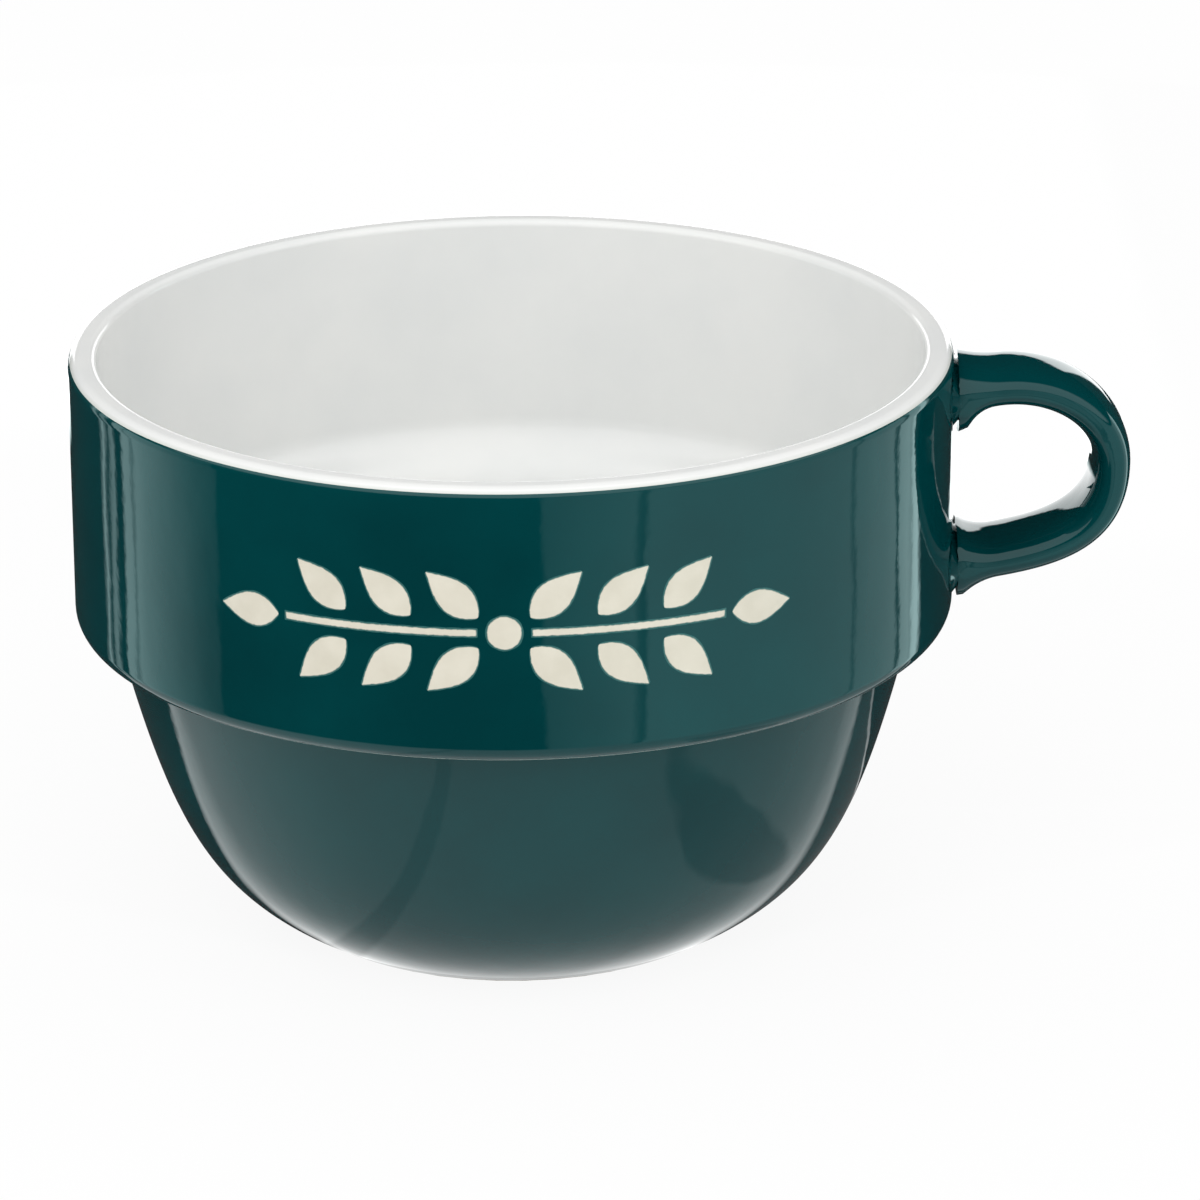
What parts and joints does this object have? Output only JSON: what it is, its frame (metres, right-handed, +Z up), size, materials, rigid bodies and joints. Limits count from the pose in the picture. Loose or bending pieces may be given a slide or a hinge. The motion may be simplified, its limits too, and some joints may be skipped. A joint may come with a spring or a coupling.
{
  "type": "breakfast mug",
  "caption": "wide stoneware breakfast mug with a straight band stepping in over a stacking ledge to a round bowl, a looped strap handle, dark green glaze, white inside and lip",
  "frame": {"origin": "centre of the flat foot, on the table", "axes": "+Z up along the mug's axis, +X towards the handle, +Y completes a right-handed frame"},
  "size_m": [0.1443, 0.12, 0.0808],
  "materials": {
    "stoneware": "bare fired stoneware, matt",
    "green_glaze": "dark blue-green gloss glaze",
    "white_glaze": "white gloss glaze",
    "cream_slip": "cream slip inlay under a thin satin glaze"
  },
  "bodies": {
    "root": {"mug_body": "stoneware", "inner_glaze": "white_glaze", "outer_glaze": "green_glaze", "handle": "stoneware", "handle_glaze": "green_glaze", "upper_luting_slip": "green_glaze", "lower_luting_slip": "green_glaze", "berry": "cream_slip", "left_twig": "cream_slip", "left_end_leaf": "cream_slip", "left_upper_leaf_1": "cream_slip", "left_lower_leaf_1": "cream_slip", "left_upper_leaf_2": "cream_slip", "left_lower_leaf_2": "cream_slip", "left_upper_leaf_3": "cream_slip", "left_lower_leaf_3": "cream_slip", "right_twig": "cream_slip", "right_end_leaf": "cream_slip", "right_upper_leaf_1": "cream_slip", "right_lower_leaf_1": "cream_slip", "right_upper_leaf_2": "cream_slip", "right_lower_leaf_2": "cream_slip", "right_upper_leaf_3": "cream_slip", "right_lower_leaf_3": "cream_slip"}
  },
  "joints": []
}
